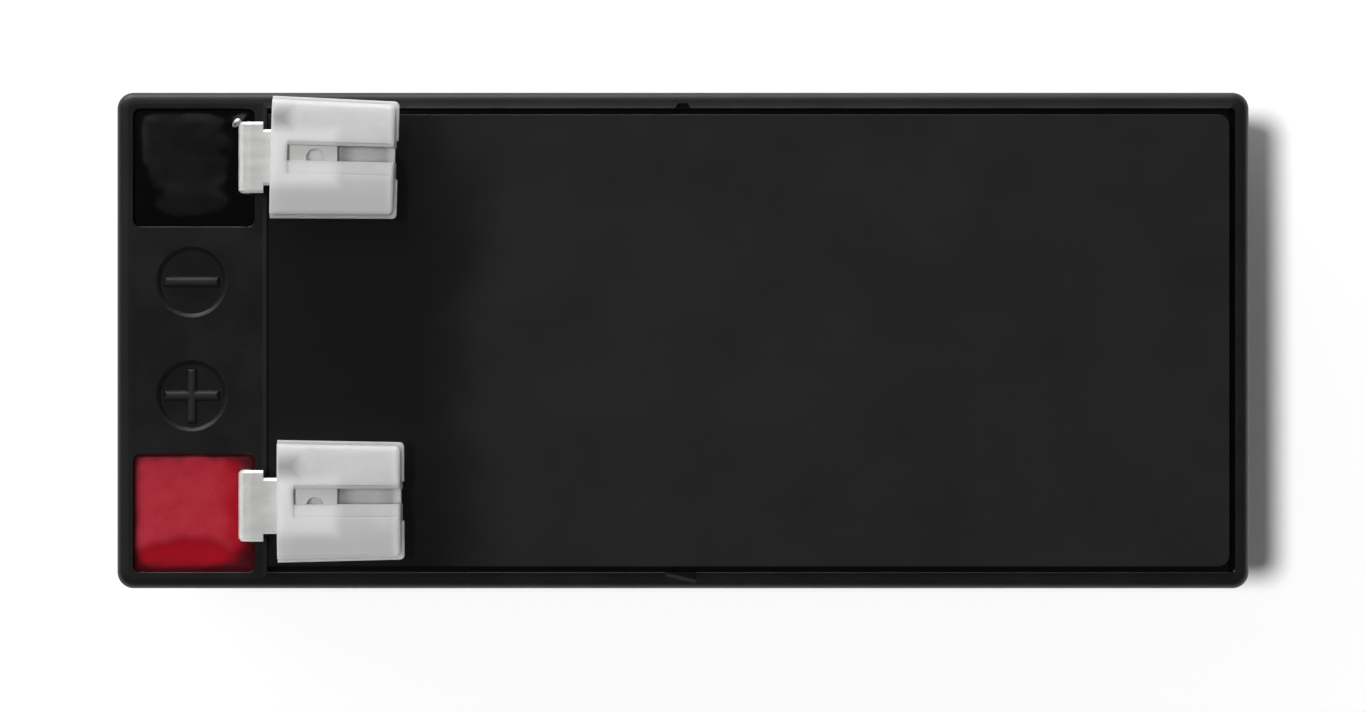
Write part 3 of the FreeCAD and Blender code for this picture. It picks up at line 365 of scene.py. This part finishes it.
def finishTabs():
    material, tree, shader, place = cloudedMaterial("tin-plated brass, stamped", tinnedBrass)
    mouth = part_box("positive_tab_cover")[0].x
    along = addNode(tree, "ShaderNodeSeparateXYZ", inputs={"Vector": place})
    # painted light on the blade inside the sleeve
    sleeveLight = addNode(tree, "ShaderNodeMapRange", inputs={
        "Value": along.outputs["X"], "From Min": mouth, "From Max": mouth + tinnedBrass["sleeveBlur"]})
    overlay(tree, shader, sleeveLight.outputs["Result"], tinnedBrass["sleeveLight"])
    finishNodes([pole + "_terminal" for pole in poles], material)


# Natural low-density polyethylene, injection moulded: milky, light goes in and wanders. The hollow places
# get painted shade, the edges painted light, and the wall patches of painted light and shade.
clearPolyethylene = {
    "shader": {"IOR": 1.51, "Subsurface Weight": 1.0, "Subsurface Radius": (1.0, 1.0, 1.0),
               "Subsurface Scale": 2.5 * mm},
    "dark": "#bababa", "light": "#c2c2c2", "cloudSize": 2.5 * mm, "roughness": (0.36, 0.48),
    "edgeRadius": 0.08 * mm, "grainSize": 0.4 * mm, "grainDepth": 0.006 * mm,
    # painted shade in the hollow places
    "hollowShade": "#767676", "hollowReach": 1.6 * mm, "hollowSpan": (0.8, 0.5),
    # painted light along the edges
    "edgeLight": "#bcbcbc", "edgeReach": 0.5 * mm, "edgeTurn": (0.99, 0.8),
}
# Those patches of painted light and shade: where one starts, how far it reaches along the cover, how far
# its middle lies beside the blade's, half its width and its blur.
coverLightAndShade = (
    {"tone": "#b4b4b4", "start": "mouth", "reach": 14.0 * mm,  # painted shade on the side away from the light
     "aside": -4.6 * mm, "half": 2.4 * mm, "blur": 1.6 * mm},
    {"tone": "#d2d2d2", "start": "mouth", "reach": None,  # painted light over the blade, and it ends with the blade
     "aside": 0.0, "half": 2.375 * mm, "blur": 0.7 * mm},
    {"tone": "#979797", "start": "mouth", "reach": 1.7 * mm,  # painted shade where the sleeve stands off from the blade
     "aside": 3.35 * mm, "half": 0.7 * mm, "blur": 0.8 * mm},
    {"tone": "#c8c8c8", "start": "end", "reach": 0.9 * mm,  # painted light gathered at the far end
     "aside": 0.0, "half": 7.0 * mm, "blur": 0.4 * mm},
)


def paintCoverLightAndShade(tree, shader, place, pole):
    low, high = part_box(pole + "_terminal")
    mouth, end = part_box(pole + "_tab_cover")
    for patch in coverLightAndShade:
        start = mouth.x if patch["start"] == "mouth" else end.x
        reach = patch["reach"] or high.x - mouth.x
        centre = Vector((start, (low.y + high.y) / 2 + patch["aside"], 0))
        inside = addNode(tree, "ShaderNodeMapRange", smoothStep, {
            "Value": outsideBox(tree, place, centre, Vector((reach, patch["half"], 0))),
            "From Min": patch["blur"], "From Max": -patch["blur"]})
        # lays each patch of painted light and shade over the wall
        overlay(tree, shader, inside.outputs["Result"], patch["tone"])


# paints light along the edges; an edge is where the softened normal turns away from the face's own
def paintEdgeLight(tree, shader, spec):
    rounded = addNode(tree, "ShaderNodeBevel", {"samples": shared["edgeRays"]}, {
        "Radius": spec["edgeReach"]})
    face = addNode(tree, "ShaderNodeNewGeometry")
    turn = addNode(tree, "ShaderNodeVectorMath", {"operation": "DOT_PRODUCT"}, {
        0: rounded.outputs["Normal"], 1: face.outputs["Normal"]})
    along = addNode(tree, "ShaderNodeMapRange", inputs={
        "Value": turn.outputs["Value"], "From Min": spec["edgeTurn"][0], "From Max": spec["edgeTurn"][1]})
    overlay(tree, shader, along.outputs["Result"], spec["edgeLight"])


def finishCovers():
    material, tree, shader, place = cloudedMaterial("natural polyethylene, moulded", clearPolyethylene)
    paintHollowShade(tree, shader, clearPolyethylene)
    for pole in poles:
        paintCoverLightAndShade(tree, shader, place, pole)
    paintEdgeLight(tree, shader, clearPolyethylene)
    finishNodes([pole + "_tab_cover" for pole in poles], material)


finishTabs()
finishCovers()
print("terminals and their covers finished")


# turns a finished mesh into a piece that rides on the battery
def addPiece(name, mesh, material):
    data = bpy.data.meshes.new(name)
    mesh.to_mesh(data)
    mesh.free()
    data.materials.append(material)
    piece = bpy.data.objects.new(name, data)
    bpy.context.scene.collection.objects.link(piece)
    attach(piece, "root")
    return piece


# Casting epoxy, poured into the wells and set: glossy and slightly domed, shrunk away along the walls,
# drawn up round the riser of the terminal, and dark at its border: thin resin on the red, painted shade
# on the black.
pouredEpoxy = {
    "shader": {"IOR": 1.55}, "cloudSize": 3.0 * mm, "roughness": (0.24, 0.36), "edgeRadius": 0.04 * mm,
    "grainSize": 1.2 * mm, "grainDepth": 0.01 * mm,
}
# the dark border reaches in from the left, right, front and back walls: thin resin over the black lid on
# the red, painted shade on the black; pool is the deeper tone along the front and beside the tab
blackPour = {
    **pouredEpoxy, "dark": "#0b0b0b", "light": "#111111", "pool": "#090909", "featherShade": "#010101",
    "featherShadeReach": (2.4 * mm, 3.2 * mm, 0.9 * mm, 0.45 * mm), "featherShadeBlur": 0.25, "featherShadeRagged": 0.8,
    "featherShadeRoughness": 0.12, "leftRise": 0.6,
    "fallReach": 1.4 * mm, "edgeDrop": 0.14 * mm, "poolDrop": 0.0, "seed": 4.0 * mm,
}
redPour = {
    **pouredEpoxy, "dark": "#98222f", "light": "#a12a38", "pool": "#8d0718", "featherShade": "#3a050c",
    "featherShadeReach": (0.55 * mm, 1.5 * mm, 0.8 * mm, 0.5 * mm), "featherShadeBlur": 0.9, "featherShadeRagged": 0.3,
    "featherShadeRoughness": 0.36, "leftRise": 0.0,
    "fallReach": 0.45 * mm, "edgeDrop": 0.12 * mm, "poolDrop": 0.25 * mm, "seed": 11.0 * mm,
}
pourShape = {
    "steps": 84, "cornerRadius": 0.6 * mm, "climb": 0.1 * mm, "climbReach": 0.3 * mm,
    "ripple": 0.03 * mm, "rippleSize": 2.2 * mm, "riserInset": 1.1 * mm, "riserThickness": 0.8 * mm,
}
# How the borders run. Places are shares of the well's half length and width, from -1 to 1, and scales say
# how much finer than the ripple a wander is.
pourBorders = {
    "narrowFrom": -0.5, "featherShadeFall": 1.5, "featherShadeLevel": 0.5, "raggedScale": 1.9, "fallWander": 0.15,
    "wave": 0.4, "waveScale": 1.3, "poolFrom": -0.34, "poolBow": 0.3, "poolMiddle": -0.1, "poolBlur": 0.2,
    "besideFrom": 0.35, "besideBlur": 0.45,
}


def smooth(value):
    value = min(max(value, 0.0), 1.0)
    return value * value * (3 - 2 * value)


# a grid point brought inside the well's round corners, and how far it lies from the wall
def wellPoint(x, y, half):
    radius = pourShape["cornerRadius"]
    overX, overY = abs(x) - (half.x - radius), abs(y) - (half.y - radius)
    if overX <= 0 or overY <= 0:
        return x, y, min(half.x - abs(x), half.y - abs(y))
    pull = max(overX, overY) / math.hypot(overX, overY)  # from the square corner onto its arc
    x = math.copysign(half.x - radius + overX * pull, x)
    y = math.copysign(half.y - radius + overY * pull, y)
    return x, y, radius - max(overX, overY)


# how much of the dark border a point has; on the left it narrows towards the back
def featherShadeAt(x, y, v, half, spot, spec):
    narrowed = 1 - spec["leftRise"] * smooth(v - pourBorders["narrowFrom"])
    toSides = ((half.x + x) / narrowed, half.x - x, half.y + y, half.y - y)
    nearSides = sum(math.exp(-(max(gap, 0) / reach) ** pourBorders["featherShadeFall"])
                    for gap, reach in zip(toSides, spec["featherShadeReach"]))
    ragged = spec["featherShadeRagged"] * noise.noise(spot * pourBorders["raggedScale"])
    return smooth((nearSides - pourBorders["featherShadeLevel"]) / spec["featherShadeBlur"] + 0.5 + ragged)


# how much of the sunk pool along the front a point has, and of the same tone beside the tab
def poolAt(u, v, spot):
    wave = pourBorders["wave"] * noise.noise(spot * pourBorders["waveScale"])
    bowed = pourBorders["poolFrom"] - pourBorders["poolBow"] * (u - pourBorders["poolMiddle"]) ** 2
    sunk = smooth((bowed - v) / pourBorders["poolBlur"] + wave)
    beside = smooth((u - pourBorders["besideFrom"]) / pourBorders["besideBlur"] + wave)
    return sunk, beside


# how far a point of the surface stands over the flat level of the solid
def pourRise(toWall, toRiser, sunk, spot, spec):
    ripple = noise.noise(spot)
    fallen = smooth(1 - toWall / spec["fallReach"] - pourBorders["fallWander"] * ripple)
    climbed = pourShape["climb"] * math.exp(-toRiser / pourShape["climbReach"])
    return pourShape["ripple"] * ripple + climbed - spec["edgeDrop"] * fallen - spec["poolDrop"] * sunk


# the filled well: a grid over its rounded rectangle, then straight walls and a flat bottom
def pourSeal(pole, spec, material):
    low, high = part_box(pole + "_seal")
    tabLow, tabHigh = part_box(pole + "_terminal")
    centre, half = (low + high) / 2, (high - low) / 2
    steps, thickness = pourShape["steps"], pourShape["riserThickness"]
    riserX = high.x - pourShape["riserInset"] + thickness / 2
    mesh = bmesh.new()
    featherShadeLayer = mesh.verts.layers.float.new("featherShade")
    poolLayer = mesh.verts.layers.float.new("pool")
    top = {}
    for column in range(steps + 1):
        for row in range(steps + 1):
            u, v = 2 * column / steps - 1, 2 * row / steps - 1
            x, y, toWall = wellPoint(u * half.x, v * half.y, half)
            place = Vector((centre.x + x, centre.y + y, spec["seed"]))
            spot = place / pourShape["rippleSize"]
            toRiser = math.hypot(max(abs(place.x - riserX) - thickness / 2, 0),
                                 max(tabLow.y - place.y, place.y - tabHigh.y, 0))
            sunk, beside = poolAt(u, v, spot)
            height = high.z + pourRise(toWall, toRiser, sunk, spot, spec)
            vertex = mesh.verts.new((place.x, place.y, height))
            vertex[featherShadeLayer] = featherShadeAt(x, y, v, half, spot, spec)
            vertex[poolLayer] = max(sunk, beside)
            top[column, row] = vertex
    for column in range(steps):
        for row in range(steps):
            corners = ((column, row), (column + 1, row), (column + 1, row + 1), (column, row + 1))
            face = mesh.faces.new([top[corner] for corner in corners])
            face.smooth = True
    rim = [top[at, 0] for at in range(steps)] + [top[steps, at] for at in range(steps)]
    rim += [top[at, steps] for at in range(steps, 0, -1)] + [top[0, at] for at in range(steps, 0, -1)]
    bottom = [mesh.verts.new((vertex.co.x, vertex.co.y, low.z)) for vertex in rim]
    for at in range(len(rim)):
        mesh.faces.new((rim[at - 1], bottom[at - 1], bottom[at], rim[at]))
    mesh.faces.new(bottom[::-1])
    piece = addPiece(pole + "_seal_pour", mesh, material)
    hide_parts(pole + "_seal")


def epoxyMaterial(name, spec):
    material, tree, shader = cloudedMaterial(name, spec)[:3]
    pool, featherShade = [addNode(tree, "ShaderNodeAttribute", {"attribute_name": layer}).outputs["Fac"]
                  for layer in ("pool", "featherShade")]
    overlay(tree, shader, pool, spec["pool"])
    # the dark border: thin resin over the black lid on the red, painted shade on the black
    overlay(tree, shader, featherShade, spec["featherShade"])
    roughen(tree, shader, featherShade, spec["featherShadeRoughness"])
    return material


pours = (
    ("negative", blackPour, "black epoxy, poured", "black_epoxy"),
    ("positive", redPour, "red epoxy, poured", "red_epoxy"),
)
for pole, spec, name, slot in pours:
    material = epoxyMaterial(name, spec)
    finishNodes((pole + "_seal",), material)
    pourSeal(pole, spec, material)
print("wells poured")

# Tin solder, splashed from the dip and set on the corner of the negative tab: one bright lumpy crumb.
tinSolder = {
    "shader": {"Metallic": 1.0}, "dark": "#d8d8d6", "light": "#ececea", "cloudSize": 0.4 * mm,
    "roughness": (0.3, 0.5), "edgeRadius": 0.03 * mm, "grainSize": 0.1 * mm, "grainDepth": 0.004 * mm,
}
bead = {
    "halfSize": (0.46 * mm, 0.24 * mm, 0.26 * mm), "turn": 45.0, "lump": 0.35, "lumpSize": 0.6,
    "fromCorner": (-0.13 * mm, -0.04 * mm, -1.0 * mm), "roundness": 3,
}


def addBead():
    seal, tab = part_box("negative_seal")[1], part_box("negative_terminal")[1]
    corner = Vector((seal.x - pourShape["riserInset"], tab.y, tab.z)) + Vector(bead["fromCorner"])
    turn = Matrix.Rotation(math.radians(bead["turn"]), 3, "Z")
    mesh = bmesh.new()
    bmesh.ops.create_icosphere(mesh, subdivisions=bead["roundness"], radius=1.0)
    for vertex in mesh.verts:
        swell = 1 + bead["lump"] * noise.noise(vertex.co / bead["lumpSize"])
        vertex.co = corner + turn @ Vector([a * b * swell for a, b in zip(bead["halfSize"], vertex.co)])
    for face in mesh.faces:
        face.smooth = True
    material = cloudedMaterial("tin solder, splashed", tinSolder)[0]
    addPiece("negative_tab_bead", mesh, material)


addBead()
print("solder crumb added")

# What the case hides, finished as it would be found on opening it.
# Synthetic rubber, compression moulded: dull black with a little bloom.
valveRubber = {
    "shader": {"IOR": 1.52}, "dark": "#1b1b1b", "light": "#242423", "cloudSize": 1.5 * mm,
    "roughness": (0.6, 0.75), "edgeRadius": 0.1 * mm, "grainSize": 0.25 * mm, "grainDepth": 0.006 * mm,
}
# Lead alloy, cast on to the plate lugs: soft grey metal, dulled by a thin oxide in patches.
castLead = {
    "shader": {"Metallic": 1.0}, "dark": "#75777b", "light": "#8f9195", "cloudSize": 1.8 * mm,
    "roughness": (0.45, 0.65), "edgeRadius": 0.12 * mm, "grainSize": 0.5 * mm, "grainDepth": 0.02 * mm,
}
# Lead dioxide paste, pressed into a grid and cured: chocolate brown, earthy and quite matt.
positivePaste = {
    "shader": {"IOR": 1.6}, "dark": "#3a2720", "light": "#4d3529", "cloudSize": 1.2 * mm,
    "roughness": (0.8, 0.95), "edgeRadius": 0.05 * mm, "grainSize": 0.2 * mm, "grainDepth": 0.02 * mm,
}
# Sponge lead paste, pressed into a grid and cured: slate grey with a slight metal sheen.
negativePaste = {
    "shader": {"Metallic": 0.3}, "dark": "#6c6e71", "light": "#828487", "cloudSize": 1.2 * mm,
    "roughness": (0.6, 0.8), "edgeRadius": 0.05 * mm, "grainSize": 0.2 * mm, "grainDepth": 0.015 * mm,
}
# Glass microfibre, laid wet into a mat: white and felt-like, fibres mostly along the sheet.
glassMat = {
    "shader": {"IOR": 1.5}, "dark": "#dcdbd6", "light": "#eeede9", "stretch": (0.3, 1.0, 1.0),
    "cloudSize": 0.8 * mm, "roughness": (0.85, 0.98), "edgeRadius": 0.05 * mm,
    "grainSize": 0.12 * mm, "grainDepth": 0.03 * mm,  # fibres are 0.002 mm: drawn as bundles
}
links = [f"intercell_link_{n}" for n in cells[:-1]]
endStraps = [pole + "_end_strap" for pole in poles]
hiddenFinishes = (
    ("synthetic rubber, moulded", valveRubber, [f"vent_valve_{n}" for n in cells]),
    ("lead alloy, cast", castLead, links + endStraps),
    ("lead dioxide paste, pressed and cured", positivePaste,
     [f"cell_{n}_positive_plates" for n in cells]),
    ("sponge lead paste, pressed and cured", negativePaste,
     [f"cell_{n}_negative_plates" for n in cells]),
    ("glass microfibre mat, wet laid", glassMat, [f"cell_{n}_separators" for n in cells]),
)
for name, spec, names in hiddenFinishes:
    finishNodes(names, cloudedMaterial(name, spec)[0])
print("inner parts finished")

# Stage: a white floor, one high narrow key that throws the shadow to the right, a low softbox
# behind and to the left for the bright back edge, flagged off the floor, a dim panel over it, and
# a weak grey surround.
stage = {
    "floorSize": 8.0, "floorDrop": 0.05 * mm, "floorColour": "#fbfbfb", "floorRoughness": 0.9,
    "glowColour": "#ffffff", "floorGlow": 0.078,
    "keyTilt": 7.4, "keyLean": 0.7, "keySpread": 3.2, "keyStrength": 2.78,
    "softbox": {"at": (-0.36, 1.0, 0.26), "size": (0.7, 0.42), "power": 8.6, "flagged": True},
    "panel": {"at": (-0.40, 0.47, 0.84), "size": (0.9, 0.55), "power": 1.3, "flagged": False},
    "aim": (0, 0, 50 * mm), "surround": "#404040",
}


def buildFloor():
    mesh = bpy.data.meshes.new("floor")
    half = stage["floorSize"] / 2
    low = cadBox[0].z - stage["floorDrop"]
    corners = [(-half, -half, low), (half, -half, low), (half, half, low), (-half, half, low)]
    mesh.from_pydata(corners, [], [(0, 1, 2, 3)])
    floor = bpy.data.objects.new("floor", mesh)
    bpy.context.scene.collection.objects.link(floor)
    material, tree, shader = emptyMaterial("matt white paper", {
        "Base Color": hexToLinear(stage["floorColour"]), "Roughness": stage["floorRoughness"],
        "Specular IOR Level": 0.0, "Emission Color": hexToLinear(stage["glowColour"])})
    ray = addNode(tree, "ShaderNodeLightPath")  # the paper's slight glow is seen but lights nothing
    seen = addNode(tree, "ShaderNodeMath", {"operation": "MAXIMUM"}, {
        0: ray.outputs["Is Camera Ray"], 1: ray.outputs["Is Glossy Ray"]})
    seenThrough = addNode(tree, "ShaderNodeMath", {"operation": "MAXIMUM"}, {
        0: seen.outputs["Value"], 1: ray.outputs["Is Transmission Ray"]})
    glow = addNode(tree, "ShaderNodeMath", {"operation": "MULTIPLY"}, {
        0: seenThrough.outputs["Value"], 1: stage["floorGlow"]})
    tree.links.new(glow.outputs["Value"], shader.inputs["Emission Strength"])
    mesh.materials.append(material)
    return floor


def addLamp(name, kind, settings, at, aim):
    lamp = bpy.data.lights.new(name, kind)
    for key, value in settings.items():
        setattr(lamp, key, value)
    lampObject = bpy.data.objects.new(name, lamp)
    lampObject.location = at
    lampObject.rotation_euler = (Vector(aim) - Vector(at)).to_track_quat("-Z", "Y").to_euler()
    lampObject.visible_camera = False
    bpy.context.scene.collection.objects.link(lampObject)
    return lampObject


# keeps a lamp off the floor, so that it doesn't wash out the key's shadow
def flagLamp(lamp, floor):
    flag = bpy.data.collections.new(lamp.name + "Flag")
    flag.objects.link(floor)
    flag.collection_objects[0].light_linking.link_state = "EXCLUDE"
    lamp.light_linking.receiver_collection = flag


def lightStage(floor):
    tilt, lean = math.radians(stage["keyTilt"]), math.radians(stage["keyLean"])
    key = addLamp("key", "SUN", {
        "energy": stage["keyStrength"], "angle": math.radians(stage["keySpread"])},
        (-math.sin(tilt), math.sin(lean), math.cos(tilt)), (0, 0, 0))
    key.visible_glossy = False  # kept out of the plate's gloss, as a flag would
    for name in ("softbox", "panel"):
        box = stage[name]
        width, height = box["size"]
        lamp = addLamp(name, "AREA", {
            "energy": box["power"], "shape": "RECTANGLE", "size": width, "size_y": height},
            box["at"], stage["aim"])
        if box["flagged"]:
            flagLamp(lamp, floor)
    world = bpy.data.worlds.new("surround")
    world.use_nodes = True
    world.node_tree.nodes["Background"].inputs["Color"].default_value = hexToLinear(stage["surround"])
    bpy.context.scene.world = world
    bpy.context.scene.view_settings.view_transform = "Standard"


# The photograph looks straight down from well above, so no side wall shows.
view = {"lens": 200.0, "sensor": 36.0, "aboveLid": 650 * mm, "offsetY": -1.33 * mm}


def placeCamera():
    lens = bpy.data.cameras.new("camera")
    lens.lens = view["lens"]
    lens.sensor_width = view["sensor"]
    camera = bpy.data.objects.new("camera", lens)
    camera.location = (0, view["offsetY"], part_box("lid")[1].z + view["aboveLid"])
    bpy.context.scene.collection.objects.link(camera)
    bpy.context.scene.camera = camera


lightStage(buildFloor())
placeCamera()
print("stage set")
